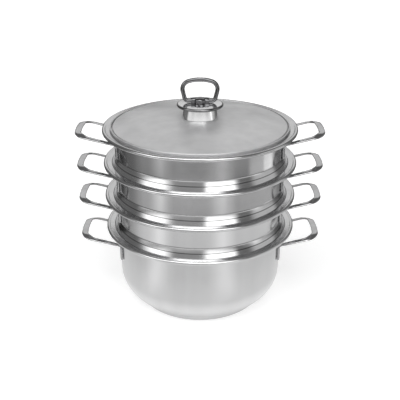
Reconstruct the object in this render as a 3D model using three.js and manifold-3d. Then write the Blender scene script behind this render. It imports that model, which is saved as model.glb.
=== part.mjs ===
// Stainless steel steamer: a deep pot, three perforated steaming tiers stacked on it, and a domed lid.
// Millimetres, +Z up. The origin is the centre of the base, and the handles lie along X.
import * as THREE from "three";
import { mergeVertices } from "three/addons/utils/BufferGeometryUtils.js";
import Module from "manifold-3d";

const wasm = await Module();
wasm.setup();

// Driving sizes of the stack
const wallRadius = 130; // outside of the wall of the pot and of every tier
const sheet = 0.8; // drawn steel of pot, tiers and lid
const clearance = 0.3; // gap between pieces that touch
const potHeight = 132; // ground to the lip of the pot
const tierPitch = 53.2; // from one lip to the next
const tierNames = ["lower", "middle", "upper"];

// Mouth of the pot and of every tier: seat, step, ledge and rolled lip
const seatDepth = 5.6; // lip down to the seat
const seatWidth = 7; // wall to the step round the seat
const ledgeWidth = 11; // step to the middle of the rolled lip
const ledgeFall = 1.7; // how far the ledge sinks towards the step
const lipRadius = 2.2; // rolled edge
const seatBend = 2;
const stepBend = 1.2;

// Pot
const potCorner = 48; // large round corner between wall and floor
const coreThickness = 3.5;
const capSheet = 0.6;
const capRadius = 100;
const capCorner = 4;
const coreChamfer = 0.5;

// Lower end of a tier: belt that seats in the flange below, neck and perforated floor
const beltRise = 7.5; // lip below up to the crease over the belt
const beltStep = 1.6; // how far the crease stands out from the wall
const beltBend = 1.2;
const creaseHeight = 1;
const neckGap = 1.4; // between the neck and the wall that it drops into
const neckDepth = 16; // lip below down to the underside of the floor
const floorCorner = 7;
const holeRadius = 4.5;
const holePitch = 36; // between rings of holes
const holeMargin = 3; // last ring to the corner of the floor
const holesPerRing = 6; // added with every ring

// Strap handles: a tab on the wall, a bend, an arm, and the grip between two arms
const gripWidth = 9.8;
const armWidth = 8.6;
const tabWidth = 10;
const strapThickness = 3.2;
const fingerGap = 30; // lip to the inner edge of the grip
const gripHalfSpan = 38.3; // handle's middle to the middle of an arm, at the grip
const rootHalfSpan = 37.2; // the same at the wall
const gripCorner = 19;
const gripBow = 0.8; // how far the middle of the grip stands out
const strapRise = THREE.MathUtils.degToRad(14.3);
const strapRoll = THREE.MathUtils.degToRad(11); // tilt that lowers the outer edge of the grip
const strapBend = 8;
const tierGripDrop = 5; // lip down to the middle of the grip
const potGripDrop = 15;
const tabFoot = 3.4; // lower end of a tier's weld tab, above the crease
const potTabLength = 18.5;

// Lid
const domeRise = 12.2; // edge of the dome up to the middle
const grooveWidth = 2.6;
const grooveLift = 1; // bottom of the groove above the seat
const brimWidth = 5; // step to the edge of the lid
const brimRoll = 1.1;
const grooveBend = 1;

// Knob
const pedestalBaseRadius = 28.3;
const pedestalTopRadius = 24;
const pedestalHeight = 19.2;
const pedestalSheet = 1;
const pedestalBend = 2.5;
const discRadius = 35.6;
const discSheet = 1.2;
const discRoll = 2.4;
const wireRadius = 3.2;
const bailHeight = 36.5; // underside of the feet up to the top of the bar at its ends
const bailFootHalfSpan = 22.4;
const bailTopHalfSpan = 28.9;
const bailCrown = 2.6; // how far the middle of the bar arches over its ends
const bailCrownHalfSpan = 12;
const bailFootBend = 6.5;
const bailTopBend = 12.5;
const hubRadius = 9.5;
const hubSide = 4.5;
const hubDome = 4.2;
const archWall = 1.3;
const archSetback = 1.8; // end of an arch to the bend of the foot
const screwRadius = 2.4;
const screwBite = 5; // into the saddle
const screwHeadRadius = 5;
const screwHeadHeight = 2.8;
const washerRadius = 8;
const washerThickness = 1.2;

// Fineness of the round forms
const stackSides = 32;
const knobSides = 24;
const smallSides = 12;
const holeSides = 6;
const wireSides = 8;
const filletStep = 9; // a fillet gets one step for each of these in its radius
const wireSteps = 3;
const strapSteps = 4;
const domeSteps = 4;
const lipSteps = 4;
const overrun = 1; // how far a cutting form runs past what it cuts
const samePlace = 1e-4; // vertices nearer than this are one

// Places that follow from the sizes
const wallMid = wallRadius - sheet / 2;
const stepRadius = wallRadius + seatWidth;
const lipMid = stepRadius + ledgeWidth;
const flangeRadius = lipMid + lipRadius;
const gripRadius = flangeRadius + fingerGap + gripWidth / 2;
const topLip = potHeight + tierNames.length * tierPitch;

// Materials
const steel = (color, roughness) =>
  new THREE.MeshStandardMaterial({ color, roughness, metalness: 1 });
const potSteel = steel(0xc9cacb, 0.34);
const tierSteel = steel(0xb4b6b8, 0.24);
const lidSteel = steel(0xbcbdbf, 0.42);
const polishedSteel = steel(0xd2d3d5, 0.12);
const screwSteel = steel(0xa9abad, 0.3);
const coreAluminium = steel(0xc4c6c8, 0.5);

// A corner of a sheet's middle line: radius, height and the fillet there.
const corner = (radius, height, fillet = 0) => ({
  at: new THREE.Vector2(radius, height),
  fillet,
});

const direction = (from, to) => to.at.clone().sub(from.at).normalize();
const leftOf = (v) => new THREE.Vector2(-v.y, v.x);
const turnAt = (into, out) => Math.atan2(into.cross(out), into.dot(out));

// The points of a filleted line: each corner with a fillet becomes an arc of one or more steps.
function filleted(corners, fewest = 1) {
  return corners.flatMap((here, i) => {
    if (i === 0 || i === corners.length - 1 || here.fillet <= 0) return [here.at.clone()];
    const into = direction(corners[i - 1], here);
    const turn = turnAt(into, direction(here, corners[i + 1]));
    const back = here.fillet * Math.tan(Math.abs(turn) / 2);
    const start = here.at.clone().addScaledVector(into, -back);
    const centre = start.clone().addScaledVector(leftOf(into), here.fillet * Math.sign(turn));
    const count = Math.max(fewest, Math.round(here.fillet / filletStep));
    return Array.from({ length: count + 1 }, (_, k) =>
      start.clone().rotateAround(centre, (turn * k) / count),
    );
  });
}

// The same line moved sideways, to the left for a positive distance.
function offset(corners, distance) {
  return corners.map((here, i) => {
    const into = direction(corners[Math.max(i - 1, 0)], corners[Math.max(i, 1)]);
    const next = Math.min(i + 1, corners.length - 1);
    const out = direction(corners[next - 1], corners[next]);
    const normals = leftOf(into).add(leftOf(out));
    const reach = distance / (1 + into.dot(out));
    const at = here.at.clone().addScaledVector(normals, reach);
    const fillet = here.fillet - Math.sign(into.cross(out)) * distance;
    return { at, fillet: here.fillet > 0 ? Math.max(fillet, 0) : 0 };
  });
}

// Section of a bent sheet with plain edges, from the middle line of the sheet.
function sheetSection(corners, thickness) {
  const left = filleted(offset(corners, thickness / 2));
  const right = filleted(offset(corners, -thickness / 2));
  return [...left, ...right.reverse()];
}

// The same with its outer edge rolled to the right.
function rolledSection(corners, thickness, roll) {
  const last = corners.at(-1);
  const normal = leftOf(direction(corners.at(-2), last));
  const centre = last.at.clone().addScaledVector(normal, thickness / 2 - roll);
  const top = last.at.clone().addScaledVector(normal, thickness / 2);
  const turn = 2 * Math.PI - Math.acos(1 - thickness / roll);
  const round = Array.from({ length: lipSteps }, (_, k) =>
    top.clone().rotateAround(centre, (-turn * (k + 1)) / lipSteps),
  );
  const left = filleted(offset(corners, thickness / 2));
  const right = filleted(offset(corners, -thickness / 2)).slice(0, -1);
  return [...left, ...round, ...right.reverse()];
}

// Revolves a section about Z. It touches the axis at both ends, or is closed.
function revolve(section, sides) {
  const points = THREE.ShapeUtils.area(section) < 0 ? [...section].reverse() : [...section];
  const onAxis = section[0].x === 0 && section.at(-1).x === 0;
  if (!onAxis) points.push(points[0].clone());
  return solidOf(new THREE.LatheGeometry(points, sides).rotateX(Math.PI / 2));
}

// A closed geometry as a solid that can be joined and cut.
function solidOf(geometry) {
  const bare = geometry.index ? geometry.toNonIndexed() : geometry.clone();
  bare.deleteAttribute("normal");
  bare.deleteAttribute("uv");
  const merged = mergeVertices(bare, samePlace);
  const triVerts = [];
  for (let i = 0; i < merged.index.count; i += 3) {
    const [a, b, c] = [0, 1, 2].map((k) => merged.index.getX(i + k));
    if (a !== b && b !== c && c !== a) triVerts.push(a, b, c);
  }
  return new wasm.Manifold(
    new wasm.Mesh({
      numProp: 3,
      vertProperties: merged.getAttribute("position").array,
      triVerts: new Uint32Array(triVerts),
    }),
  );
}

function geometryOf(solid) {
  const { vertProperties, triVerts } = solid.getMesh();
  const geometry = new THREE.BufferGeometry();
  geometry.setAttribute("position", new THREE.BufferAttribute(vertProperties, 3));
  geometry.setIndex(new THREE.BufferAttribute(triVerts, 1));
  geometry.computeVertexNormals();
  return geometry;
}

function named(name, solid, material) {
  const mesh = new THREE.Mesh(geometryOf(solid), material);
  mesh.name = name;
  return mesh;
}

// Joins rings of points, all of one count, into a closed solid with flat ends.
function loft(rings) {
  const sides = rings[0].length;
  const index = [];
  for (let r = 0; r + 1 < rings.length; r += 1) {
    for (let k = 0; k < sides; k += 1) {
      const [a, b] = [r * sides + k, r * sides + ((k + 1) % sides)];
      index.push(a, b, b + sides, a, b + sides, a + sides);
    }
  }
  const end = (rings.length - 1) * sides;
  for (let k = 1; k + 1 < sides; k += 1) {
    index.push(0, k + 1, k, end, end + k, end + k + 1);
  }
  const geometry = new THREE.BufferGeometry().setFromPoints(rings.flat());
  geometry.setIndex(index);
  return solidOf(geometry);
}

const upright = (sides, radius, height) =>
  solidOf(new THREE.CylinderGeometry(radius, radius, height, sides).rotateX(Math.PI / 2));
const alongX = (sides, radius, length) =>
  solidOf(new THREE.CylinderGeometry(radius, radius, length, sides).rotateZ(Math.PI / 2));
const block = (x, y, z) => solidOf(new THREE.BoxGeometry(x, y, z));

// Middle line of a mouth, from the top of the wall to the rolled lip.
function mouth(lip) {
  const seat = lip - seatDepth - sheet / 2;
  const step = stepRadius + sheet / 2;
  return [
    corner(wallMid, seat, seatBend),
    corner(step, seat),
    corner(step, lip - ledgeFall - sheet / 2, stepBend),
    corner(lipMid, lip - sheet / 2),
  ];
}

function potShell() {
  const floor = capSheet + clearance + coreThickness + clearance + sheet / 2;
  const line = [corner(0, floor), corner(wallMid, floor, potCorner), ...mouth(potHeight)];
  return revolve(rolledSection(line, sheet, lipRadius), stackSides);
}

// Height of the pot's underside at a radius on its round corner.
function potUnderside(radius) {
  const floor = capSheet + clearance + coreThickness + clearance;
  const outer = potCorner + sheet / 2;
  const out = Math.max(radius - (wallMid - potCorner), 0);
  return floor + outer - Math.sqrt(outer * outer - out * out);
}

function baseCore() {
  const bottom = capSheet + clearance;
  const coreRadius = capRadius - capSheet - clearance - capCorner;
  const section = [
    new THREE.Vector2(0, bottom),
    new THREE.Vector2(coreRadius - coreChamfer, bottom),
    new THREE.Vector2(coreRadius, bottom + coreChamfer),
    new THREE.Vector2(coreRadius, bottom + coreThickness),
    new THREE.Vector2(0, bottom + coreThickness),
  ];
  return revolve(section, stackSides);
}

function baseCap() {
  const edge = capRadius - capSheet / 2;
  const line = [
    corner(0, capSheet / 2),
    corner(edge, capSheet / 2, capCorner),
    corner(edge, potUnderside(capRadius - capSheet) - clearance),
  ];
  return revolve(sheetSection(line, capSheet), stackSides);
}

// Holes in rings about one hole in the middle, as one cutting form.
function perforation(flatRadius, height) {
  const rings = Math.floor((flatRadius - holeMargin - holeRadius) / holePitch);
  const drill = upright(holeSides, holeRadius, sheet + 2 * overrun);
  const holes = [drill.translate([0, 0, height])];
  for (let ring = 1; ring <= rings; ring += 1) {
    const count = ring * holesPerRing;
    for (let k = 0; k < count; k += 1) {
      const angle = (2 * Math.PI * (k + (ring % 2) / 2)) / count;
      const out = ring * holePitch;
      holes.push(drill.translate([out * Math.cos(angle), out * Math.sin(angle), height]));
    }
  }
  return wasm.Manifold.union(holes);
}

function tierShell(lip) {
  const below = lip - tierPitch;
  const floor = below - neckDepth + sheet / 2;
  const neck = wallRadius - sheet - neckGap - sheet / 2;
  const rest = below - seatDepth + clearance + sheet / 2;
  const belt = stepRadius - clearance - sheet / 2;
  const crease = below + beltRise;
  const line = [
    corner(0, floor),
    corner(neck, floor, floorCorner),
    corner(neck, rest),
    corner(belt, rest, beltBend),
    corner(belt, below - ledgeFall),
    corner(wallMid + beltStep, crease),
    corner(wallMid, crease + creaseHeight),
    ...mouth(lip),
  ];
  const shell = revolve(rolledSection(line, sheet, lipRadius), stackSides);
  return shell.subtract(perforation(neck - floorCorner, floor));
}

// Half of a handle as stations, each with its middle point, the direction of its lower face, and
// half its width as a vector.
function strapStations(lip, gripDrop, tabEnd) {
  const up = new THREE.Vector3(0, 0, 1);
  const tabRadius = wallRadius + clearance + strapThickness / 2;
  const azimuth = Math.asin(rootHalfSpan / tabRadius);
  const radial = new THREE.Vector3(Math.cos(azimuth), Math.sin(azimuth), 0);
  const sweep = Math.PI / 2 - strapRise;
  const heightAt = (x) => lip - gripDrop - (gripRadius - x) * Math.tan(strapRise);
  const bendOut = strapBend * (1 - Math.cos(sweep));
  const bendEndX = (tabRadius + bendOut) * radial.x;
  const bendStart = heightAt(bendEndX) - strapBend * Math.sin(sweep);
  const stations = [];
  const add = (point, face, along, width) => {
    const wide = new THREE.Vector3().crossVectors(face, along).setLength(width / 2);
    stations.push({ point, face, wide });
  };
  const root = radial.clone().multiplyScalar(tabRadius);
  add(root.clone().setZ(tabEnd(bendStart)), radial, up, tabWidth);
  for (let k = 0; k <= strapSteps; k += 1) {
    const angle = (sweep * k) / strapSteps;
    const [c, s] = [Math.cos(angle), Math.sin(angle)];
    const point = root.clone().addScaledVector(radial, strapBend * (1 - c));
    point.setZ(bendStart + strapBend * s);
    const face = radial.clone().multiplyScalar(c).addScaledVector(up, -s);
    const along = up.clone().multiplyScalar(c).addScaledVector(radial, s);
    add(point, face, along, THREE.MathUtils.lerp(tabWidth, armWidth, k / strapSteps));
  }
  const under = new THREE.Vector3(Math.sin(strapRise), 0, -Math.cos(strapRise));
  const addRolled = (x, y, along, width) => {
    const inward = new THREE.Vector3().crossVectors(under, along).setLength(Math.sin(strapRoll));
    const face = under.clone().multiplyScalar(Math.cos(strapRoll)).add(inward);
    add(new THREE.Vector3(x, y, heightAt(x)), face, along, width);
  };
  for (let k = 0; k <= strapSteps; k += 1) {
    const angle = (Math.PI / 2) * (k / strapSteps);
    const [c, s] = [Math.cos(angle), Math.sin(angle)];
    const x = gripRadius - gripCorner * (1 - s);
    const y = gripHalfSpan - gripCorner * (1 - c);
    const along = new THREE.Vector3(c, -s, c * Math.tan(strapRise));
    addRolled(x, y, along, THREE.MathUtils.lerp(armWidth, gripWidth, s));
  }
  addRolled(gripRadius + gripBow, 0, new THREE.Vector3(0, -1, 0), gripWidth);
  return stations;
}

const mirrored = (v) => new THREE.Vector3(v.x, -v.y, v.z);

function strapHandle(lip, gripDrop, tabEnd) {
  const half = strapStations(lip, gripDrop, tabEnd);
  const other = half.slice(0, -1).map(({ point, face, wide }) => ({
    point: mirrored(point),
    face: mirrored(face),
    wide: mirrored(wide),
  }));
  const corners = [
    [-1, -1],
    [1, -1],
    [1, 1],
    [-1, 1],
  ];
  const rings = [...half, ...other.reverse()].map(({ point, face, wide }) =>
    corners.map(([across, through]) =>
      point
        .clone()
        .addScaledVector(wide, across)
        .addScaledVector(face, (through * strapThickness) / 2),
    ),
  );
  return loft(rings);
}

// A vessel's two handles: the left one is the right one turned half round.
function handlePair(owner, lip, gripDrop, tabEnd) {
  const solid = strapHandle(lip, gripDrop, tabEnd);
  const right = named(owner + "_handle_right", solid, polishedSteel);
  const left = named(owner + "_handle_left", solid, polishedSteel);
  left.rotation.z = Math.PI;
  return [left, right];
}

// Top face of a ledge at a radius, above the lip's plane.
const ledgeTop = (radius) => (-ledgeFall * (lipMid - radius)) / ledgeWidth;

const brimMid = stepRadius + brimWidth - brimRoll;
const brimHeight = topLip + ledgeTop(brimMid) + clearance + 2 * brimRoll - sheet / 2;
const grooveOuter = stepRadius - clearance - sheet / 2;
const domeEdge = grooveOuter - grooveWidth;
const grooveHeight = topLip - seatDepth + grooveLift + sheet / 2;
const apex = brimHeight + domeRise;

// Height of the dome's middle line at a radius: part of a large sphere.
function domeHeight(radius) {
  const sphere = (domeEdge * domeEdge + domeRise * domeRise) / (2 * domeRise);
  return apex - sphere + Math.sqrt(sphere * sphere - radius * radius);
}

const screwHole = screwRadius + clearance;

function lidShell() {
  const dome = Array.from({ length: domeSteps + 1 }, (_, k) => {
    const radius = screwHole + ((domeEdge - screwHole) * k) / domeSteps;
    return corner(radius, domeHeight(radius));
  });
  const line = [
    ...dome,
    corner(domeEdge, grooveHeight),
    corner(grooveOuter, grooveHeight),
    corner(grooveOuter, brimHeight, grooveBend),
    corner(brimMid, brimHeight),
  ];
  return revolve(rolledSection(line, sheet, brimRoll), stackSides);
}

const lidTop = apex + sheet / 2;
const pedestalTop = lidTop + pedestalHeight;
const discTop = pedestalTop + clearance + discSheet;
const saddleBottom = discTop + clearance;
const wireHeight = discTop + clearance + wireRadius;

function pedestal() {
  const base = domeHeight(pedestalBaseRadius - pedestalSheet) + sheet / 2 + clearance;
  const line = [
    corner(screwHole, pedestalTop - pedestalSheet / 2),
    corner(pedestalTopRadius - pedestalSheet / 2, pedestalTop - pedestalSheet / 2, pedestalBend),
    corner(pedestalBaseRadius - pedestalSheet / 2, base),
  ];
  return revolve(sheetSection(line, pedestalSheet), knobSides);
}

function knobDisc() {
  const height = discTop - discSheet / 2;
  const line = [corner(screwHole, height), corner(discRadius - discRoll, height)];
  return revolve(rolledSection(line, discSheet, discRoll), knobSides);
}

// The bail's wire: a foot in the saddle, a bend, a leg that leans out, and the top bar.
function bail() {
  const top = wireHeight + bailHeight - 2 * wireRadius;
  const foot = hubRadius + clearance;
  const half = filleted(
    [
      corner(foot, wireHeight),
      corner(bailFootHalfSpan, wireHeight, bailFootBend),
      corner(bailTopHalfSpan, top, bailTopBend),
      corner(bailCrownHalfSpan, top + bailCrown),
      corner(0, top + bailCrown),
    ],
    wireSteps,
  );
  const other = half.slice(0, -1).map((p) => new THREE.Vector2(-p.x, p.y));
  const line = [...half, ...other.reverse()];
  const rings = line.map((here, i) => {
    const before = line[Math.max(i - 1, 0)];
    const after = line[Math.min(i + 1, line.length - 1)];
    const side = leftOf(after.clone().sub(before).normalize());
    return Array.from({ length: wireSides }, (_, k) => {
      const angle = (2 * Math.PI * k) / wireSides;
      const out = wireRadius * Math.cos(angle);
      return new THREE.Vector3(
        here.x + side.x * out,
        -wireRadius * Math.sin(angle),
        here.y + side.y * out,
      );
    });
  });
  return loft(rings);
}

// The saddle: a domed hub with an arch over each foot of the bail.
function saddle() {
  const section = [
    new THREE.Vector2(0, saddleBottom),
    new THREE.Vector2(hubRadius, saddleBottom),
    ...Array.from({ length: domeSteps }, (_, k) => {
      const angle = (Math.PI / 2) * (k / domeSteps);
      const height = saddleBottom + hubSide + hubDome * Math.sin(angle);
      return new THREE.Vector2(hubRadius * Math.cos(angle), height);
    }),
    new THREE.Vector2(0, saddleBottom + hubSide + hubDome),
  ];
  const hub = revolve(section, knobSides);
  const archRadius = wireRadius + clearance + archWall;
  const archEnd = bailFootHalfSpan - bailFootBend - archSetback;
  const length = 2 * archEnd;
  const above = block(length + 2 * overrun, 2 * archRadius + 2 * overrun, 2 * archRadius)
    .translate([0, 0, saddleBottom + archRadius]);
  const arches = alongX(smallSides, archRadius, length)
    .translate([0, 0, wireHeight])
    .intersect(above);
  const channelLength = archEnd - hubRadius + overrun;
  const channelMid = hubRadius + channelLength / 2;
  const bore = wireRadius + clearance;
  const channel = alongX(smallSides, bore, channelLength).add(
    block(channelLength, 2 * bore, bore + overrun).translate([0, 0, -(bore + overrun) / 2]),
  );
  const blind = upright(smallSides, screwHole, 2 * (screwBite + clearance));
  return hub
    .add(arches)
    .subtract(channel.translate([channelMid, 0, wireHeight]))
    .subtract(channel.translate([-channelMid, 0, wireHeight]))
    .subtract(blind.translate([0, 0, saddleBottom]));
}

const washerTop = apex - sheet / 2 - clearance;
const screwHeadTop = washerTop - washerThickness - clearance;

function screw() {
  const tip = saddleBottom + screwBite;
  const section = [
    new THREE.Vector2(0, screwHeadTop - screwHeadHeight),
    new THREE.Vector2(screwHeadRadius - screwHeadHeight / 2, screwHeadTop - screwHeadHeight),
    new THREE.Vector2(screwHeadRadius, screwHeadTop - screwHeadHeight / 2),
    new THREE.Vector2(screwHeadRadius, screwHeadTop),
    new THREE.Vector2(screwRadius, screwHeadTop),
    new THREE.Vector2(screwRadius, tip),
    new THREE.Vector2(0, tip),
  ];
  return revolve(section, smallSides);
}

function washer() {
  const middle = washerTop - washerThickness / 2;
  const line = [corner(screwHole, middle), corner(washerRadius, middle)];
  return revolve(sheetSection(line, washerThickness), smallSides);
}

const steamer = new THREE.Group();

const pot = new THREE.Group();
pot.add(
  named("pot_shell", potShell(), potSteel),
  named("pot_base_core", baseCore(), coreAluminium),
  named("pot_base_cap", baseCap(), potSteel),
  ...handlePair("pot", potHeight, potGripDrop, (bend) => bend - potTabLength),
);
steamer.add(pot);

tierNames.forEach((name, i) => {
  const lip = potHeight + (i + 1) * tierPitch;
  const tabEnd = () => lip - tierPitch + beltRise + creaseHeight + tabFoot;
  const tier = new THREE.Group();
  tier.add(
    named(name + "_tier_shell", tierShell(lip), tierSteel),
    ...handlePair(name + "_tier", lip, tierGripDrop, tabEnd),
  );
  steamer.add(tier);
});

const lid = new THREE.Group();
lid.add(
  named("lid_shell", lidShell(), lidSteel),
  named("knob_pedestal", pedestal(), polishedSteel),
  named("knob_disc", knobDisc(), polishedSteel),
  named("knob_bail", bail(), polishedSteel),
  named("knob_saddle", saddle(), polishedSteel),
  named("knob_screw", screw(), screwSteel),
  named("knob_washer", washer(), screwSteel),
);
steamer.add(lid);

export default steamer;
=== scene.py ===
import math

import bmesh
import bpy
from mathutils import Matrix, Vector
from mathutils.geometry import delaunay_2d_cdt


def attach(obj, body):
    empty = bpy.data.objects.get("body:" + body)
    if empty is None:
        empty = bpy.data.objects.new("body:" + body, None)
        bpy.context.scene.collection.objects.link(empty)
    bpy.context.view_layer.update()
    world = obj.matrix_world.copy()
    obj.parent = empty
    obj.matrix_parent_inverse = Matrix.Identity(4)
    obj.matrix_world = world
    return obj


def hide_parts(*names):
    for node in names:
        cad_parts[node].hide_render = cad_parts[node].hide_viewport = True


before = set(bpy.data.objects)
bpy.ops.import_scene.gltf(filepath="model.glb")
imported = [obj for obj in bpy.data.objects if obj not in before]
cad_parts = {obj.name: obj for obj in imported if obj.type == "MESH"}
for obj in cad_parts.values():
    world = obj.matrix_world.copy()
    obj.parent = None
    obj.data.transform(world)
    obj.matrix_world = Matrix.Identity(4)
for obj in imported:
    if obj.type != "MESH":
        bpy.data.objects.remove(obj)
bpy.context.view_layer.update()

MM = 0.001
scene = bpy.context.scene

# Stack and sheet
WALL, SHEET, GAP = 130.0, 0.8, 0.3
POT_HEIGHT, PITCH = 132.0, 53.2
TIERS = ("lower", "middle", "upper")

# Flange: seat for the next shell, ledge and bead. LIP is the solid's bead, which gives the outer radius.
SEAT_DEPTH, SEAT_WIDTH, LEDGE_WIDTH, LEDGE_FALL, LIP = 5.6, 7.0, 11.0, 1.7, 2.2
SEAT_BEND, SEAT_FOOT_BEND, STEP_BEND, LEDGE_BEND = 2.0, 0.9, 1.2, 0.5
BEAD, BEAD_RISE, BEAD_STAND = 3.0, math.radians(35), 1.0

# Pot and its base
POT_CORNER, CORE_THICK, CORE_CHAMFER = 48.0, 3.5, 0.5
CAP_SHEET, CAP_RADIUS, CAP_CORNER = 0.6, 100.0, 4.0

# Tier: floor, neck inside the shell below, belt on its seat, and flare from the belt to the wall
NECK_GAP, NECK_DEPTH, NECK_BEND, FLOOR_CORNER = 1.4, 16.0, 0.8, 7.0
BELT_RISE, BELT_BEND, BELT_TOP_BEND, CREASE, CREASE_BEND = 7.5, 1.2, 1.5, 1.0, 0.6
FLARE_LOW, FLARE_HIGH, FLARE_OUT, FLARE_BEND = 5.0, 12.0, 3.1, 8.0
HOLE, HOLE_PITCH, HOLE_MARGIN, HOLES_PER_RING, HOLE_EASE = 4.5, 36.0, 3.0, 6, 0.25

# Lid
DOME_RISE, DOME_BEND, BRIM_WIDTH, BRIM_ROLL = 12.2, 0.8, 5.0, 1.1
GROOVE_WIDTH, GROOVE_LIFT, GROOVE_DRAFT, GROOVE_BEND = 2.6, 1.0, 0.1, 0.7

# Knob
PED_BASE, PED_TOP, PED_HEIGHT, PED_SHEET, PED_BEND = 28.3, 24.0, 19.2, 1.0, 2.5
DISC, DISC_SHEET, DISC_ROLL = 35.6, 1.2, 2.4
WIRE, BAIL_HEIGHT, FOOT_HALF, TOP_HALF = 3.2, 36.5, 22.4, 28.9
CROWN, CROWN_HALF, CROWN_BEND, SHOULDER_DROP = 2.6, 9.0, 50.0, 3.0
FOOT_BEND, TOP_BEND = 6.5, 12.5
HUB, HUB_SIDE, HUB_DOME, HUB_CHAMFER = 9.5, 4.5, 4.2, 0.3
ARCH_WALL, ARCH_BACK, ARCH_START, ARCH_EASE, ARCH_EASE_LENGTH = 1.3, 1.8, 0.55, 0.3, 0.4
SCREW, SCREW_BITE, HEAD, HEAD_HEIGHT, HEAD_SIDE, HEAD_SEAT = 2.4, 5.0, 5.0, 2.8, 0.3, 0.2
HEAD_CROWN = ((0.55, 1.0), (0.8, 0.85), (0.95, 0.5))  # shares of the head's radius and height
WASHER, WASHER_THICK = 8.0, 1.2

# Strap handles
GRIP_R, GRIP_HALF, ROOT_HALF = 185.1, 38.3, 37.2
GRIP_W, ARM_W, TAB_W, STRAP_T = 9.8, 8.6, 10.0, 3.2
GRIP_CORNER, GRIP_BOW = 19.0, 0.8
RISE, ROLL, CORNER_ROLL = math.radians(14.3), math.radians(11), math.radians(23)
STRAP_BEND, STRAP_POWER = 8.0, 2.5
POT_DROP, TIER_DROP = 15.0, 5.0
TAB_FOOT, POT_TAB = 3.4, 18.5
DIMPLE, DIMPLE_DEPTH, DIMPLE_FOOT, DIMPLE_APART, DIMPLE_REACH = 2.0, 0.7, 4.2, 7.5, 6.0
UPRIGHT = 0.2  # most that the face of an upright stretch points up or down

# Fineness of the smooth forms
SIDES, KNOB_SIDES, FASTENER_SIDES, HOLE_SIDES = 192, 96, 48, 32
BEND_STEP, WIRE_BEND_STEP = math.radians(8), math.radians(6)
BEAD_STEPS, DOME_STEPS, HUB_STEPS, ARCH_STEPS = 24, 24, 14, 20
TAB_STEP, TAB_LEAST, BEND_STEPS, ARM_STEPS, CORNER_STEPS, GRIP_STEPS = 1.0, 4, 12, 6, 16, 4
STRAP_SIDES, WIRE_SIDES, WIRE_STEP = 56, 24, 3.0
SHARP = math.radians(38)
HAIR = 0.01


# Sections of bent sheet: lines of (radius, height) with a fillet at each corner
def corner(r, z, fillet=0.0):
    return Vector((r, z)), fillet


def left_of(v):
    return Vector((-v.y, v.x))


def cross2(a, b):
    return a.x * b.y - a.y * b.x


def turned(v, angle):
    c, s = math.cos(angle), math.sin(angle)
    return Vector((v.x * c - v.y * s, v.x * s + v.y * c))


def filleted(line, step=BEND_STEP):
    """Points of a line with its corners rounded. Its ends stay sharp."""
    out = []
    for i, (at, fillet) in enumerate(line):
        if fillet <= 0 or i in (0, len(line) - 1):
            out.append(at.copy())
            continue
        into = (at - line[i - 1][0]).normalized()
        away = (line[i + 1][0] - at).normalized()
        turn = math.atan2(cross2(into, away), into.dot(away))
        start = at - into * (fillet * math.tan(abs(turn) / 2))
        centre = start + left_of(into) * math.copysign(fillet, turn)
        count = max(2, round(abs(turn) / step))
        out += [centre + turned(start - centre, turn * k / count) for k in range(count + 1)]
    return out


def offset(line, distance, least_fillet=0.05):
    """A line moved to its left, with its fillets grown or shrunk to match."""
    ways = [(b - a).normalized() for (a, _), (b, _) in zip(line, line[1:])]
    out = []
    for (at, fillet), into, away in zip(line, ways[:1] + ways, ways + ways[-1:]):
        reach = distance / (1 + into.dot(away))
        moved = at + (left_of(into) + left_of(away)) * reach
        grown = fillet - math.copysign(1, cross2(into, away)) * distance
        out.append((moved, max(grown, least_fillet) if fillet > 0 else 0))
    return out


def sheet_section(line, thick):
    """Closed section of a sheet with cut ends."""
    return filleted(offset(line, thick / 2)) + filleted(offset(line, -thick / 2))[::-1]


def rolled_section(line, thick, roll):
    """Section of a sheet whose far end is rolled under into a bead."""
    last, before = line[-1][0], line[-2][0]
    normal = left_of((last - before).normalized())
    centre = last + normal * (thick / 2 - roll)
    top = last + normal * (thick / 2)
    turn = 2 * math.pi - math.acos(1 - thick / roll)
    bead = [centre + turned(top - centre, -turn * (k + 1) / BEAD_STEPS) for k in range(BEAD_STEPS)]
    left = filleted(offset(line, thick / 2))
    right = filleted(offset(line, -thick / 2))[:-1]
    return left + bead + right[::-1]


# Meshes
def bridge(bm, rings):
    """Quads between rings of one count of vertices."""
    for one, two in zip(rings, rings[1:]):
        for k in range(len(one)):
            n = (k + 1) % len(one)
            bm.faces.new([one[k], one[n], two[n], two[k]])


def add_lathe(bm, points, sides, closed=True, axis_tol=1e-6):
    """Turns (radius, height) points about the upright axis. A point on the axis stays one vertex."""
    rings = []
    for p in points:
        if abs(p.x) < axis_tol:
            rings.append([bm.verts.new((0, 0, p.y * MM))])
            continue
        rings.append([
            bm.verts.new((p.x * MM * math.cos(a), p.x * MM * math.sin(a), p.y * MM))
            for a in (2 * math.pi * k / sides for k in range(sides))
        ])
    pairs = list(zip(rings, rings[1:]))
    if closed:
        pairs.append((rings[-1], rings[0]))
    for one, two in pairs:
        if len(one) == 1 and len(two) == 1:
            continue
        for k in range(sides):
            n = (k + 1) % sides
            quad = [one[k % len(one)], one[n % len(one)], two[n % len(two)], two[k % len(two)]]
            face = list(dict.fromkeys(quad))
            if len(face) > 2:
                bm.faces.new(face)


def to_piece(bm, name, merge=1e-6):
    """An object with smooth shading, broken at sharp edges."""
    bmesh.ops.remove_doubles(bm, verts=bm.verts, dist=merge)
    bmesh.ops.recalc_face_normals(bm, faces=bm.faces)
    for face in bm.faces:
        face.smooth = True
    for edge in bm.edges:
        if len(edge.link_faces) == 2 and edge.calc_face_angle(0) > SHARP:
            edge.smooth = False
    mesh = bpy.data.meshes.new(name)
    bm.to_mesh(mesh)
    bm.free()
    piece = bpy.data.objects.new(name, mesh)
    scene.collection.objects.link(piece)
    return piece


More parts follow.
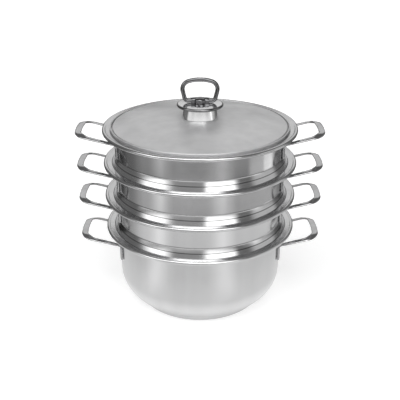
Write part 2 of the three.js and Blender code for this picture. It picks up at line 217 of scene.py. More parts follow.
def revolve(name, section, sides=SIDES, closed=True):
    bm = bmesh.new()
    add_lathe(bm, section, sides, closed)
    return to_piece(bm, name)


# Pot and tiers
def mouth(lip):
    """Middle line of a flange, from the top of the wall over seat, step and ledge to the bead."""
    seat = lip - SEAT_DEPTH - SHEET / 2
    step = WALL + SEAT_WIDTH + SHEET / 2
    arm = BEAD - SHEET / 2
    bead_r = WALL + SEAT_WIDTH + LEDGE_WIDTH + LIP - BEAD - arm * math.sin(BEAD_RISE)
    bead_z = lip - BEAD + arm * math.cos(BEAD_RISE)
    ledge_z = lip - BEAD_STAND - SHEET / 2
    return [
        corner(WALL - SHEET / 2, seat, SEAT_BEND),
        corner(step, seat, SEAT_FOOT_BEND),
        corner(step, lip - LEDGE_FALL - SHEET / 2, STEP_BEND),
        corner(bead_r - (bead_z - ledge_z) / math.tan(BEAD_RISE), ledge_z, LEDGE_BEND),
        corner(bead_r, bead_z),
    ]


def pot_line():
    floor = CAP_SHEET + GAP + CORE_THICK + GAP + SHEET / 2
    return [corner(0, floor), corner(WALL - SHEET / 2, floor, POT_CORNER), *mouth(POT_HEIGHT)]


def pot_underside(radius):
    """Height of the pot's outer face at a radius within its rounded foot."""
    floor = CAP_SHEET + GAP + CORE_THICK + GAP
    outer = POT_CORNER + SHEET / 2
    out = max(radius - (WALL - SHEET / 2 - POT_CORNER), 0)
    return floor + outer - math.sqrt(outer * outer - out * out)


def cap_line():
    edge = CAP_RADIUS - CAP_SHEET / 2
    return [
        corner(0, CAP_SHEET / 2),
        corner(edge, CAP_SHEET / 2, CAP_CORNER),
        corner(edge, pot_underside(CAP_RADIUS - CAP_SHEET) - GAP),
    ]


def core_section():
    low, radius = CAP_SHEET + GAP, CAP_RADIUS - CAP_SHEET - GAP - CAP_CORNER
    return [
        Vector((0, low)),
        Vector((radius - CORE_CHAMFER, low)),
        Vector((radius, low + CORE_CHAMFER)),
        Vector((radius, low + CORE_THICK)),
        Vector((0, low + CORE_THICK)),
    ]


def tier_places(lip):
    """Heights of the lip below and of the floor, and radius of the neck."""
    below = lip - PITCH
    floor = below - NECK_DEPTH + SHEET / 2
    neck = WALL - SHEET - NECK_GAP - SHEET / 2
    return below, floor, neck


def tier_line(lip):
    below, floor, neck = tier_places(lip)
    rest = below - SEAT_DEPTH + GAP + SHEET / 2
    belt = WALL + SEAT_WIDTH - GAP - SHEET / 2
    return [
        corner(neck - FLOOR_CORNER, floor),
        corner(neck, floor, FLOOR_CORNER - HAIR),
        corner(neck, rest, NECK_BEND),
        corner(belt, rest, BELT_BEND),
        corner(belt, below - LEDGE_FALL, BELT_TOP_BEND),
        corner(WALL - SHEET / 2 + FLARE_OUT, below + FLARE_LOW, CREASE_BEND),
        corner(WALL - SHEET / 2, below + FLARE_HIGH, FLARE_BEND),
        *mouth(lip),
    ]


def hole_centres(flat):
    rings = math.floor((flat - HOLE_MARGIN - HOLE) / HOLE_PITCH)
    out = [(0.0, 0.0)]
    for ring in range(1, rings + 1):
        count = ring * HOLES_PER_RING
        for k in range(count):
            a = 2 * math.pi * (k + (ring % 2) / 2) / count
            out.append((ring * HOLE_PITCH * math.cos(a), ring * HOLE_PITCH * math.sin(a)))
    return out


def ring_points(centre, radius, sides):
    return [
        Vector((centre[0] + radius * math.cos(a), centre[1] + radius * math.sin(a)))
        for a in (2 * math.pi * k / sides for k in range(sides))
    ]


def add_pierced_disc(bm, radius, height, centres, inside_only=1, weld=1e-5):
    """One face of a floor, triangulated around its holes."""
    points = ring_points((0, 0), radius, SIDES)
    edges = [(k, (k + 1) % SIDES) for k in range(SIDES)]
    for centre in centres:
        start = len(points)
        points += ring_points(centre, HOLE + HOLE_EASE, HOLE_SIDES)
        edges += [(start + k, start + (k + 1) % HOLE_SIDES) for k in range(HOLE_SIDES)]
    flat, _, faces, *_ = delaunay_2d_cdt(points, edges, [], inside_only, weld)
    verts = [bm.verts.new((p.x * MM, p.y * MM, height * MM)) for p in flat]
    reach = HOLE + HOLE_EASE + HAIR
    for face in faces:
        fills_hole = any(all((flat[i] - Vector(c)).length < reach for i in face) for c in centres)
        if not fills_hole:
            bm.faces.new([verts[i] for i in face])


def add_perforated(bm, radius, bottom, top, centres):
    """The flat of a floor with punched holes whose upper and lower edges are eased."""
    for height in (top, bottom):
        add_pierced_disc(bm, radius, height, centres)
    walls = ((HOLE_EASE, top), (0, top - HOLE_EASE), (0, bottom + HOLE_EASE), (HOLE_EASE, bottom))
    for centre in centres:
        rings = []
        for out, height in walls:
            ring = ring_points(centre, HOLE + out, HOLE_SIDES)
            rings.append([bm.verts.new((p.x * MM, p.y * MM, height * MM)) for p in ring])
        bridge(bm, rings)


def tier_shell(name, lip):
    _, floor, neck = tier_places(lip)
    bm = bmesh.new()
    add_lathe(bm, rolled_section(tier_line(lip), SHEET, BEAD), SIDES, closed=False)
    flat = neck - FLOOR_CORNER
    add_perforated(bm, flat, floor - SHEET / 2, floor + SHEET / 2, hole_centres(flat))
    return to_piece(bm, name, merge=5e-6)


# Places of the lid and the knob
TOP_LIP = POT_HEIGHT + len(TIERS) * PITCH
STEP_R = WALL + SEAT_WIDTH
LIP_MID = STEP_R + LEDGE_WIDTH
BRIM_MID = STEP_R + BRIM_WIDTH - BRIM_ROLL
BRIM_Z = TOP_LIP - LEDGE_FALL * (LIP_MID - BRIM_MID) / LEDGE_WIDTH + GAP + 2 * BRIM_ROLL - SHEET / 2
GROOVE_OUT = STEP_R - GAP - SHEET / 2
DOME_EDGE = GROOVE_OUT - GROOVE_WIDTH
GROOVE_Z = TOP_LIP - SEAT_DEPTH + GROOVE_LIFT + SHEET / 2
APEX = BRIM_Z + DOME_RISE
BORE = SCREW + GAP
LID_TOP = APEX + SHEET / 2
PED_Z = LID_TOP + PED_HEIGHT
DISC_Z = PED_Z + GAP + DISC_SHEET
SADDLE_Z = DISC_Z + GAP
WIRE_Z = DISC_Z + GAP + WIRE


def dome_height(radius):
    sphere = (DOME_EDGE ** 2 + DOME_RISE ** 2) / (2 * DOME_RISE)
    return APEX - sphere + math.sqrt(sphere * sphere - radius * radius)


def lid_line():
    """Middle line of the lid: dome, groove in the seat, and an upstand that carries the rim's bead."""
    dome = [BORE + (DOME_EDGE - BORE) * k / DOME_STEPS for k in range(DOME_STEPS)]
    return [
        *[corner(r, dome_height(r)) for r in dome],
        corner(DOME_EDGE, dome_height(DOME_EDGE), DOME_BEND),
        corner(DOME_EDGE + GROOVE_DRAFT, GROOVE_Z, GROOVE_BEND),
        corner(GROOVE_OUT, GROOVE_Z, GROOVE_BEND),
        corner(GROOVE_OUT, BRIM_Z),
    ]


def pedestal_line():
    base = dome_height(PED_BASE - PED_SHEET) + SHEET / 2 + GAP
    return [
        corner(BORE, PED_Z - PED_SHEET / 2),
        corner(PED_TOP - PED_SHEET / 2, PED_Z - PED_SHEET / 2, PED_BEND),
        corner(PED_BASE - PED_SHEET / 2, base),
    ]


# Strap handles
def strap_stations(lip, drop, tab_end):
    """Half of a handle as (point, face, width direction, width), from the tab's foot to the grip's middle."""
    up = Vector((0, 0, 1))
    tab_r = WALL + GAP + STRAP_T / 2
    azimuth = math.asin(ROOT_HALF / tab_r)
    radial = Vector((math.cos(azimuth), math.sin(azimuth), 0))
    under = Vector((math.sin(RISE), 0, -math.cos(RISE)))
    root = radial * tab_r
    sweep = math.pi / 2 - RISE
    out = []

    def height(x):
        return lip - drop - (GRIP_R - x) * math.tan(RISE)

    def add(point, face, along, width):
        wide = face.cross(along).normalized()
        out.append((point, face.normalized(), wide, width))

    def add_rolled(x, y, along, roll, width):
        inward = under.cross(along).normalized()
        face = under * math.cos(roll) + inward * math.sin(roll)
        add(Vector((x, y, height(x))), face, along, width)

    # The tab stands upright on the wall
    bend_x = (tab_r + STRAP_BEND * (1 - math.cos(sweep))) * radial.x
    bend_start = height(bend_x) - STRAP_BEND * math.sin(sweep)
    low = tab_end(bend_start)
    count = max(TAB_LEAST, round((bend_start - low) / TAB_STEP))
    for k in range(count):
        z = low + (bend_start - low) * k / count
        add(Vector((root.x, root.y, z)), radial, up, TAB_W)

    # The bend leads from the tab out to the arm
    for k in range(BEND_STEPS + 1):
        a = sweep * k / BEND_STEPS
        c, s = math.cos(a), math.sin(a)
        point = root + radial * (STRAP_BEND * (1 - c))
        point.z = bend_start + STRAP_BEND * s
        t = k / BEND_STEPS
        add(point, radial * c - up * s, up * c + radial * s, TAB_W + (ARM_W - TAB_W) * t * t * (3 - 2 * t))

    # The arm rises outwards and starts to roll
    arm_from = out[-1][0]
    corner_x, corner_y = GRIP_R - GRIP_CORNER, GRIP_HALF
    arm_to = Vector((corner_x, corner_y, height(corner_x)))
    along = Vector((1, 0, math.tan(RISE)))
    inward = under.cross(along).normalized()
    for k in range(1, ARM_STEPS):
        t = k / ARM_STEPS
        face = under * math.cos(ROLL * t) + inward * math.sin(ROLL * t)
        add(arm_from.lerp(arm_to, t), face, along, ARM_W)

    # The corner turns into the grip and rolls more in its middle
    for k in range(CORNER_STEPS + 1):
        a = math.pi / 2 * k / CORNER_STEPS
        x = GRIP_R - GRIP_CORNER * (1 - math.sin(a))
        y = GRIP_HALF - GRIP_CORNER * (1 - math.cos(a))
        along = Vector((math.cos(a), -math.sin(a), math.cos(a) * math.tan(RISE)))
        roll = ROLL + CORNER_ROLL * math.sin(2 * a) ** 2
        add_rolled(x, y, along, roll, ARM_W + (GRIP_W - ARM_W) * math.sin(a))

    # The grip bows out a little towards its middle
    for k in range(1, GRIP_STEPS + 1):
        t = k / GRIP_STEPS
        x = GRIP_R + GRIP_BOW * (1 - (1 - t) ** 2)
        add_rolled(x, (GRIP_HALF - GRIP_CORNER) * (1 - t), Vector((0, -1, 0)), ROLL, GRIP_W)
    return out


def strap_loop(width, thick):
    """Crowned strap as (across, through) pairs: a superellipse, nearly flat in the middle."""
    out = []
    for k in range(STRAP_SIDES):
        c, s = math.cos(2 * math.pi * k / STRAP_SIDES), math.sin(2 * math.pi * k / STRAP_SIDES)
        out.append((
            math.copysign(abs(c) ** (2 / STRAP_POWER), c) * width / 2,
            math.copysign(abs(s) ** (2 / STRAP_POWER), s) * thick / 2,
        ))
    return out


def dimple(along, across, centres):
    """Depth of the weld's dimples at a place on a tab."""
    return sum(
        DIMPLE_DEPTH * math.exp(-((along - c) ** 2 + across ** 2) / (2 * (DIMPLE / 2) ** 2)) for c in centres
    )


def strap(name, lip, drop, tab_end, turn):
    """A whole handle on the right, or on the left where turn is set."""
    half = strap_stations(lip, drop, tab_end)
    other = [(*(Vector((v.x, -v.y, v.z)) for v in (p, f, w)), width) for p, f, w, width in half[:-1]]
    low = half[0][0].z
    welds = (low + DIMPLE_FOOT, low + DIMPLE_FOOT + DIMPLE_APART)
    bm = bmesh.new()
    rings = []
    for point, face, wide, width in half + other[::-1]:
        upright = abs(face.z) < UPRIGHT
        ring = []
        for across, through in strap_loop(width, STRAP_T):
            sunk = 0.0
            if upright and point.z < welds[1] + DIMPLE_REACH and through >= STRAP_T / 4:
                sunk = dimple(point.z, across, welds)
            v = point + wide * across + face * (through - sunk)
            v = Vector((-v.x, -v.y, v.z)) if turn else v
            ring.append(bm.verts.new(v * MM))
        rings.append(ring)
    bridge(bm, rings)
    bm.faces.new(rings[0])
    bm.faces.new(rings[-1][::-1])
    return to_piece(bm, name)


# Knob
def bail_path():
    """The wire's middle from foot to foot, as (x, z)."""
    top = WIRE_Z + BAIL_HEIGHT - 2 * WIRE
    half = filleted([
        corner(HUB + GAP, WIRE_Z),
        corner(FOOT_HALF, WIRE_Z, FOOT_BEND),
        corner(TOP_HALF, top - SHOULDER_DROP, TOP_BEND),
        corner(CROWN_HALF, top + CROWN, CROWN_BEND),
        corner(0, top + CROWN),
    ], WIRE_BEND_STEP)
    legs = []
    for a, b in zip(half, half[1:]):
        count = max(1, round((b - a).length / WIRE_STEP))
        legs += [a.lerp(b, k / count) for k in range(count)]
    legs.append(half[-1])
    other = [Vector((-p.x, p.y)) for p in legs[:-1]]
    return legs + other[::-1]


def bail(name):
    line = bail_path()
    bm = bmesh.new()
    rings = []
    for i, here in enumerate(line):
        along = line[min(i + 1, len(line) - 1)] - line[max(i - 1, 0)]
        side = left_of(along.normalized())
        ring = []
        for k in range(WIRE_SIDES):
            a = 2 * math.pi * k / WIRE_SIDES
            out = WIRE * math.cos(a)
            v = Vector((here.x + side.x * out, -WIRE * math.sin(a), here.y + side.y * out))
            ring.append(bm.verts.new(v * MM))
        rings.append(ring)
    bridge(bm, rings)
    bm.faces.new(rings[0])
    bm.faces.new(rings[-1][::-1])
    return to_piece(bm, name)


def add_hub(bm):
    top = SADDLE_Z + HUB_SIDE
    section = [
        Vector((0, SADDLE_Z)),
        Vector((HUB - HUB_CHAMFER, SADDLE_Z)),
        Vector((HUB, SADDLE_Z + HUB_CHAMFER)),
    ]
    section += [
        Vector((HUB * math.cos(a), top + HUB_DOME * math.sin(a)))
        for a in (math.pi / 2 * k / HUB_STEPS for k in range(HUB_STEPS))
    ]
    section += [Vector((0, top + HUB_DOME))]
    add_lathe(bm, section, KNOB_SIDES, closed=False)


def arch_line(radius, drop):
    """Half a circle on two upright sides, as (y, z) from the middle of the wire."""
    turns = [math.pi * k / ARCH_STEPS for k in range(ARCH_STEPS + 1)]
    return [(radius, -drop), *[(radius * math.cos(a), radius * math.sin(a)) for a in turns], (-radius, -drop)]


def add_arch(bm, sign):
    """Arch of sheet over one foot of the bail, from inside the hub outwards."""
    inner, outer = WIRE + GAP, WIRE + GAP + ARCH_WALL
    end = FOOT_HALF - FOOT_BEND - ARCH_BACK
    drop = WIRE_Z - SADDLE_Z
    rings = []
    for x, ease in ((HUB * ARCH_START, 0.0), (end - ARCH_EASE_LENGTH, 0.0), (end, ARCH_EASE)):
        loop = arch_line(outer - ease, drop) + arch_line(inner, drop)[::-1]
        rings.append([bm.verts.new((sign * x * MM, y * MM, (WIRE_Z + z) * MM)) for y, z in loop])
    bridge(bm, rings)
    sides = len(rings[0])
    for ring in (rings[0], rings[-1]):
        for k in range(sides // 2 - 1):
            bm.faces.new([ring[k], ring[k + 1], ring[sides - 2 - k], ring[sides - 1 - k]])


def saddle(name):
    """Domed hub with an arch of sheet over each foot of the bail."""
    bm = bmesh.new()
    add_hub(bm)
    for sign in (1, -1):
        add_arch(bm, sign)
    return to_piece(bm, name)


def screw_section():
    head = APEX - SHEET / 2 - GAP - WASHER_THICK - GAP
    return [
        Vector((0, head - HEAD_HEIGHT)),
        *[Vector((HEAD * r, head - HEAD_HEIGHT * h)) for r, h in HEAD_CROWN],
        Vector((HEAD, head - HEAD_SIDE)),
        Vector((HEAD - HEAD_SEAT, head)),
        Vector((SCREW, head)),
        Vector((SCREW, SADDLE_Z + SCREW_BITE)),
        Vector((0, SADDLE_Z + SCREW_BITE)),
    ]


# Materials
NOISE_FROM, NOISE_TO = 0.3, 0.7
STREAK_STRETCH, BRUSH_STRETCH = (34, 34, 2.2), (6, 6, 900)
CLOUD_SCALE, WAVE_SCALE = 22.0, 55.0
BRUSH_PLAY = 0.4  # share of the roughness's play that follows the brushing
# Widths of the painted crease shade, and blur of the edge of the painted rim shade
LINE_CORE, LINE_EDGE, RIM_BLUR = 0.4, 1.6, 0.3


class Nodes:
    """Short hand for adding nodes with their inputs to a tree."""

    def __init__(self, tree):
        self.tree = tree

    def add(self, kind, inputs=None, **settings):
        node = self.tree.nodes.new(kind)
        for key, value in settings.items():
            setattr(node, key, value)
        for key, value in (inputs or {}).items():
            self.put(node.inputs[key], value)
        return node

    def put(self, socket, value):
        if isinstance(value, bpy.types.NodeSocket):
            self.tree.links.new(value, socket)
        else:
            socket.default_value = value

    def math(self, operation, *values):
        return self.add("ShaderNodeMath", dict(enumerate(values)), operation=operation).outputs[0]

    def length(self, vector):
        return self.add("ShaderNodeVectorMath", {0: vector}, operation="LENGTH").outputs["Value"]

    def parts(self, vector):
        return self.add("ShaderNodeSeparateXYZ", {"Vector": vector}).outputs

    def spread(self, value, from_lo, from_hi, to_lo, to_hi, smooth=False):
        node = self.add(
            "ShaderNodeMapRange",
            {"Value": value, "From Min": from_lo, "From Max": from_hi, "To Min": to_lo, "To Max": to_hi},
            interpolation_type="SMOOTHSTEP" if smooth else "LINEAR",
        )
        return node.outputs["Result"]

    def play(self, noise, low, high):
        """The middle range of a noise, spread from low to high."""
        return self.spread(noise, NOISE_FROM, NOISE_TO, low, high)

    def distance(self, value, centre, wrap):
        """How far a value that repeats at every two wraps is from a centre."""
        return self.math("ABSOLUTE", self.math("WRAP", self.math("SUBTRACT", value, centre), wrap, -wrap))

    def window(self, angle, centre, half, soft):
        """1 within half of the centre and 0 outside, with a soft edge; all but the angle in degrees."""
        centre, half, soft = (math.radians(v) for v in (centre, half, soft))
        return self.spread(self.distance(angle, centre, math.pi), half - soft, half + soft, 1.0, 0.0, True)

    def noise(self, vector, scale, detail, rough):
        inputs = {"Vector": vector, "Scale": scale, "Detail": detail, "Roughness": rough}
        return self.add("ShaderNodeTexNoise", inputs).outputs["Fac"]

    def stretched(self, vector, scale):
        return self.add("ShaderNodeMapping", {"Vector": vector, "Scale": scale}).outputs["Vector"]

    def relief(self, height, depth, under=None):
        """Normal of a bump whose depth is in millimetres, on top of another where one is given."""
        inputs = {"Strength": 1.0, "Distance": depth * MM, "Height": height}
        if under is not None:
            inputs["Normal"] = under
        return self.add("ShaderNodeBump", inputs).outputs["Normal"]


def empty_material(name):
    material = bpy.data.materials.new(name)
    material.use_nodes = True
    material.node_tree.nodes.clear()
    return material


def steel(name, tone, rough, swing=0.05, streak=0.04, cloud=0.03, ripple=0.0, brush=0.0, metal=1.0,
          lines=None, rim=None):
    """Stainless steel. swing is the play in roughness, streak and cloud are that in colour, and ripple and
    brush are depths in millimetres. lines, as (height, pitch, half width, depth), paints shade as dark lines
    into the creases at a pitch of heights, and rim, as (radius, depth), paints shade on all that lies outside
    a radius."""
    material = empty_material(name)
    n = Nodes(material.node_tree)
    place = n.add("ShaderNodeTexCoord").outputs["Object"]
    streaks = n.noise(n.stretched(place, STREAK_STRETCH), 1.0, detail=3.0, rough=0.55)
    clouds = n.noise(place, CLOUD_SCALE, detail=3.0, rough=0.55)
    fine = n.noise(n.stretched(place, BRUSH_STRETCH), 1.0, detail=2.0, rough=0.6)
    value = n.math("ADD", n.math("ADD", n.play(streaks, -streak, streak), n.play(clouds, -cloud, cloud)), 1.0)
    # Painted shade: darker lines at the creases, at a pitch of heights
    if lines:
        first, pitch, half, depth = lines
        away = n.distance(n.parts(place)["Z"], first * MM, pitch * MM / 2)
        shade = n.spread(away, half * LINE_CORE * MM, half * LINE_EDGE * MM, 1 - depth, 1.0, True)
        value = n.math("MULTIPLY", value, shade)
    # Painted shade: the colour darkens outside a radius
    if rim:
        radius, depth = rim
        away = n.length(n.stretched(place, (1, 1, 0)))
        shade = n.spread(away, (radius - RIM_BLUR) * MM, (radius + RIM_BLUR) * MM, 1.0, 1 - depth, True)
        value = n.math("MULTIPLY", value, shade)
    colour = n.add("ShaderNodeVectorMath", {0: tone, "Scale": value}, operation="SCALE").outputs["Vector"]
    brushing = n.play(fine, -swing * BRUSH_PLAY, swing * BRUSH_PLAY)
    shine = n.math("ADD", n.play(clouds, rough - swing, rough + swing), brushing)
    inputs = {"Base Color": colour, "Roughness": shine, "Metallic": metal}
    if ripple:
        inputs["Normal"] = n.relief(n.noise(place, WAVE_SCALE, detail=2.0, rough=0.4), ripple)
    if brush:
        inputs["Normal"] = n.relief(fine, brush, inputs.get("Normal"))
    shader = n.add("ShaderNodeBsdfPrincipled", inputs)
    n.add("ShaderNodeOutputMaterial", {"Surface": shader.outputs["BSDF"]})
    return material


POT_STEEL = steel(
    "pot_steel", (0.76, 0.76, 0.765), rough=0.22, swing=0.04, streak=0.03, cloud=0.02,
    ripple=0.05, brush=0.002)
# Tier steel with painted shade: a dark line painted at the crease where each belt turns into the flare
TIER_STEEL_PAINTED_CREASE_SHADE = steel(
    "tier_steel", (0.70, 0.70, 0.705), rough=0.15, swing=0.04, streak=0.05, cloud=0.02,
    ripple=0.05, brush=0.002, lines=(POT_HEIGHT + FLARE_LOW, PITCH, 0.6, 0.65))
LID_STEEL = steel(
    "lid_steel", (0.71, 0.71, 0.715), rough=0.42, swing=0.05, streak=0.0, cloud=0.12,
    ripple=0.04, metal=0.6)
HANDLE_STEEL = steel(
    "handle_steel", (0.58, 0.58, 0.585), rough=0.08, swing=0.02, streak=0.08, cloud=0.10, ripple=0.16)
# Painted light: the pedestal gets a near-white copy of the knob's steel, lighter than the same steel on the
# disc, bail and saddle
KNOB_STEEL_PAINTED_LIGHT = steel(
    "knob_steel", (0.96, 0.96, 0.96), rough=0.12, swing=0.03, streak=0.02, cloud=0.02, ripple=0.10)
# Disc steel with painted shade on its rolled rim: darker outside the rim's radius
DISC_STEEL_PAINTED_RIM_SHADE = steel(
    "disc_steel_painted_rim_shade", (0.80, 0.80, 0.805), rough=0.12, swing=0.03, streak=0.02, cloud=0.02, ripple=0.10,
    rim=(DISC - DISC_ROLL + RIM_BLUR, 0.68))
# Painted shade: the bail and saddle get a dark copy of the knob's steel
WIRE_STEEL_PAINTED_SHADE = steel(
    "wire_steel_painted_shade", (0.21, 0.21, 0.215), rough=0.07, swing=0.03, streak=0.04, cloud=0.06, ripple=0.34)
FASTENER_STEEL = steel("fastener_steel", (0.62, 0.62, 0.625), rough=0.28, swing=0.05, streak=0.0, cloud=0.04)
CORE_METAL = steel(
    "core_aluminium", (0.77, 0.78, 0.79), rough=0.45, swing=0.06, streak=0.0, cloud=0.04, brush=0.004)


# Pieces
def dress(piece, material, body, slot, *replaced):
    piece.data.materials.clear()
    piece.data.materials.append(material)
    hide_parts(*replaced)
    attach(piece, body)


def dress_handles(owner, lip, drop, tab_end):
    for side in ("right", "left"):
        piece = strap(f"{owner}_strap_{side}", lip, drop, tab_end, side == "left")
        dress(piece, HANDLE_STEEL, owner, "handle_steel", f"{owner}_handle_{side}")


def dress_knob(piece, material, node):
    dress(piece, material, "lid", "knob_steel", node)


def dress_fastener(piece, node):
    dress(piece, FASTENER_STEEL, "lid", "fastener_steel", node)


pot_shell = revolve("pot_shell_formed", rolled_section(pot_line(), SHEET, BEAD))
dress(pot_shell, POT_STEEL, "pot", "pot_steel", "pot_shell")
base_cap = revolve("base_cap_formed", sheet_section(cap_line(), CAP_SHEET))
dress(base_cap, POT_STEEL, "pot", "pot_steel", "pot_base_cap")
base_core = revolve("base_core_disc", core_section(), closed=False)
dress(base_core, CORE_METAL, "pot", "core_aluminium", "pot_base_core")

tier_lips = [(tier + "_tier", POT_HEIGHT + (i + 1) * PITCH) for i, tier in enumerate(TIERS)]
for body, lip in tier_lips:
    dress(tier_shell(body + "_formed", lip), TIER_STEEL_PAINTED_CREASE_SHADE, body, "tier_steel", body + "_shell")

dress_handles("pot", POT_HEIGHT, POT_DROP, lambda bend: bend - POT_TAB)
for body, lip in tier_lips:
    foot = lip - PITCH + BELT_RISE + CREASE + TAB_FOOT
    dress_handles(body, lip, TIER_DROP, lambda bend, foot=foot: foot)

lid = revolve("lid_formed", rolled_section(lid_line(), SHEET, BRIM_ROLL))
dress(lid, LID_STEEL, "lid", "lid_steel", "lid_shell")
pedestal = revolve("pedestal_cup", sheet_section(pedestal_line(), PED_SHEET), KNOB_SIDES)
dress_knob(pedestal, KNOB_STEEL_PAINTED_LIGHT, "knob_pedestal")
disc_mid = DISC_Z - DISC_SHEET / 2
disc_line = [corner(BORE, disc_mid), corner(DISC - DISC_ROLL, disc_mid)]
disc = revolve("disc_plate", rolled_section(disc_line, DISC_SHEET, DISC_ROLL), KNOB_SIDES)
dress_knob(disc, DISC_STEEL_PAINTED_RIM_SHADE, "knob_disc")
dress_knob(bail("bail_wire"), WIRE_STEEL_PAINTED_SHADE, "knob_bail")
dress_knob(saddle("saddle_hub"), WIRE_STEEL_PAINTED_SHADE, "knob_saddle")
dress_fastener(revolve("screw_turned", screw_section(), FASTENER_SIDES, closed=False), "knob_screw")
washer_mid = APEX - SHEET / 2 - GAP - WASHER_THICK / 2
washer_line = [corner(BORE, washer_mid), corner(WASHER, washer_mid)]
washer = revolve("washer_ring", sheet_section(washer_line, WASHER_THICK), FASTENER_SIDES)
dress_fastener(washer, "knob_washer")


# Studio. Camera rays see a white table in a white room. All other rays, the steel's mirror rays among them,
# see soft panels in a dim room and a table that glows with painted light and shade in graded tones. Panels
# and tones stay where they are in every view. Azimuths run from the front towards the right.
ROOM_LEVEL = 0.15
# azimuth, elevation, half width, half height and the softness of each, in degrees, and level
PANELS = (
    (0, 0, 84, 9, 8, 3, 0.60),
    (-8, 66, 48, 22, 12, 5, 2.6),
    (0, 12, 40, 5, 14, 3, 0.36),
    (-61, 30, 17, 15, 11, 5, 1.85),
    (-16, 30, 30, 15, 6, 5, 0.16),
    (28, 31, 20, 14, 5, 5, 1.9),
    (92, 14, 20, 14, 5, 5, 0.40),
    (180, 32, 30, 20, 8, 4, 0.57),
)
TABLE_RADIUS, TABLE_SIDES, TABLE_DROP = 6.0, 96, 0.0002
TABLE_WHITE, TABLE_GLOW = 0.86, 0.49
# distance from the axis in metres, and tone of the painted light and shade that the table glows with for all
# but camera rays
TABLE_PAINTED_LIGHT = (
    (0.09, 0.60), (0.13, 0.90), (0.20, 0.72), (0.29, 0.62),
    (0.44, 0.72), (0.62, 0.42), (0.82, 0.28), (1.0, 0.14),
)
# patches of painted light on the table, and of painted shade where the share is negative: azimuth, half width
# and softness in degrees, distances from and to, and share added to the tone
TABLE_PAINTED_PATCHES = (
    (-50, 7, 13, 0.22, 3.0, 0.60),
    (-50, 7, 13, 0.5, 3.0, 0.45),
    (27, 8, 13, 0.22, 3.0, 0.50),
    (27, 8, 13, 0.5, 3.0, 0.35),
    (-108, 22, 14, 0.38, 3.0, -0.50),
    (88, 24, 3, 0.76, 3.0, 1.2),
    (97, 9, 1.5, 0.77, 3.0, 1.9),
    (180, 62, 14, 0.22, 3.0, -0.66),
    (0, 40, 14, 0.93, 1.4, 3.2),
)
PATCH_EDGE, LEAST_SHARE = 0.04, 0.12


def azimuth_of(n, parts):
    return n.math("ARCTAN2", parts["X"], n.math("MULTIPLY", parts["Y"], -1.0))


def for_camera(n, others, camera_only):
    is_camera = n.add("ShaderNodeLightPath").outputs["Is Camera Ray"]
    return n.add("ShaderNodeMixShader", {0: is_camera, 1: others, 2: camera_only}).outputs[0]


def studio_world():
    world = bpy.data.worlds.new("studio")
    scene.world = world
    world.use_nodes = True
    world.node_tree.nodes.clear()
    n = Nodes(world.node_tree)
    parts = n.parts(n.add("ShaderNodeTexCoord").outputs["Generated"])
    azimuth = azimuth_of(n, parts)
    elevation = n.math("ARCSINE", parts["Z"])
    total = ROOM_LEVEL
    for az, el, half_az, half_el, soft_az, soft_el, level in PANELS:
        wide = n.window(azimuth, az, half_az, soft_az)
        tall = n.window(elevation, el, half_el, soft_el)
        total = n.math("ADD", total, n.math("MULTIPLY", n.math("MULTIPLY", wide, tall), level))
    colour = n.add("ShaderNodeCombineXYZ", {0: total, 1: total, 2: total}).outputs[0]
    room = n.add("ShaderNodeBackground", {"Color": colour, "Strength": 1.0}).outputs[0]
    white = n.add("ShaderNodeBackground", {"Color": (1, 1, 1, 1), "Strength": 1.0}).outputs[0]
    n.add("ShaderNodeOutputWorld", {"Surface": for_camera(n, room, white)})


def table_painted_light(n, far):
    grey = n.add("ShaderNodeValToRGB", {"Fac": far})
    ramp = grey.color_ramp
    ramp.interpolation = "EASE"
    while len(ramp.elements) < len(TABLE_PAINTED_LIGHT):
        ramp.elements.new(0.5)
    for stop, (at, level) in zip(ramp.elements, TABLE_PAINTED_LIGHT):
        stop.position = at
        stop.color = (level, level, level, 1)
    return grey.outputs["Color"]


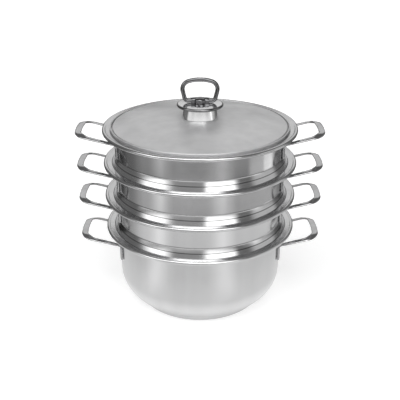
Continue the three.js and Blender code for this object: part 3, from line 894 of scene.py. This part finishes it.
def table_painted_share(n, far, azimuth):
    share = 1.0
    for az, half, soft, from_r, to_r, level in TABLE_PAINTED_PATCHES:
        rise = n.spread(far, from_r - PATCH_EDGE, from_r + PATCH_EDGE, 0.0, level, True)
        fall = n.spread(far, to_r - PATCH_EDGE, to_r + PATCH_EDGE, 1.0, 0.0, True)
        patch = n.math("MULTIPLY", n.window(azimuth, az, half, soft), n.math("MULTIPLY", rise, fall))
        share = n.math("ADD", share, patch)
    return n.math("MAXIMUM", share, LEAST_SHARE)


def table_top():
    material = empty_material("table_top")
    n = Nodes(material.node_tree)
    place = n.add("ShaderNodeTexCoord").outputs["Object"]
    far = n.length(place)
    # For all but camera rays the table glows with painted light and shade: tones by distance times patches by
    # azimuth
    mirrored_painted_light = n.math("MULTIPLY", table_painted_light(n, far), table_painted_share(n, far, azimuth_of(n, n.parts(place))))
    matt = n.add("ShaderNodeBsdfDiffuse", {"Color": (TABLE_WHITE, TABLE_WHITE, TABLE_WHITE, 1)}).outputs[0]
    glow = n.add("ShaderNodeEmission", {"Color": (1, 1, 1, 1), "Strength": TABLE_GLOW}).outputs[0]
    seen = n.add("ShaderNodeAddShader", {0: matt, 1: glow}).outputs[0]
    others = n.add("ShaderNodeEmission", {"Color": (1, 1, 1, 1), "Strength": mirrored_painted_light}).outputs[0]
    n.add("ShaderNodeOutputMaterial", {"Surface": for_camera(n, others, seen)})
    return material


def table():
    bm = bmesh.new()
    rim = ring_points((0, 0), TABLE_RADIUS, TABLE_SIDES)
    bm.faces.new([bm.verts.new((p.x, p.y, -TABLE_DROP)) for p in rim])
    piece = to_piece(bm, "floor")
    piece.data.materials.append(table_top())


studio_world()
table()

# Camera, fitted to the four flange rims in the photograph
FOCAL_PIXELS, FRAME_PIXELS, SENSOR = 714, 400, 36.0
EYE, LOOK_DOWN = (0.0, -1.052, 0.632), 23.96
camera = bpy.data.cameras.new("photo_view")
camera.sensor_width = SENSOR
camera.lens = FOCAL_PIXELS / FRAME_PIXELS * SENSOR
viewer = bpy.data.objects.new("photo_view", camera)
viewer.location = EYE
viewer.rotation_euler = (math.radians(90 - LOOK_DOWN), 0, 0)
scene.collection.objects.link(viewer)
scene.camera = viewer
scene.view_settings.view_transform = "Standard"
